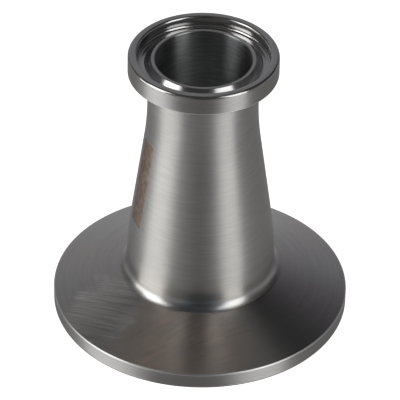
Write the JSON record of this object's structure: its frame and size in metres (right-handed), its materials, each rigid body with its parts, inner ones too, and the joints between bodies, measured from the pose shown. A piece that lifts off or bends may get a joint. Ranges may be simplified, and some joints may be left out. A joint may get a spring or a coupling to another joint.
{
  "type": "concentric reducer",
  "caption": "Hygienic pipe reducer: a hollow cone between a wide and a narrow clamp flange, all on one straight axis, with a gasket groove in each face.",
  "frame": {"origin": "centre of the large clamp face's plane, on the fitting's axis", "axes": "+Z along the axis, from the large clamp face to the small one; +X and +Y are any two square directions across it"},
  "size_m": [0.0506, 0.0506, 0.0508],
  "materials": {
    "turned_steel": "turned stainless steel, satin on the neck and the flange back, polished in the gasket groove",
    "satin_steel": "stainless steel with fine brushing around the axis",
    "ground_weld": "weld ground flush outside and brushed like the cone"
  },
  "bodies": {
    "root": {"large_ferrule": "turned_steel", "large_end_weld": "ground_weld", "reducing_cone": "satin_steel", "small_end_weld": "ground_weld", "small_ferrule": "turned_steel"}
  },
  "joints": []
}
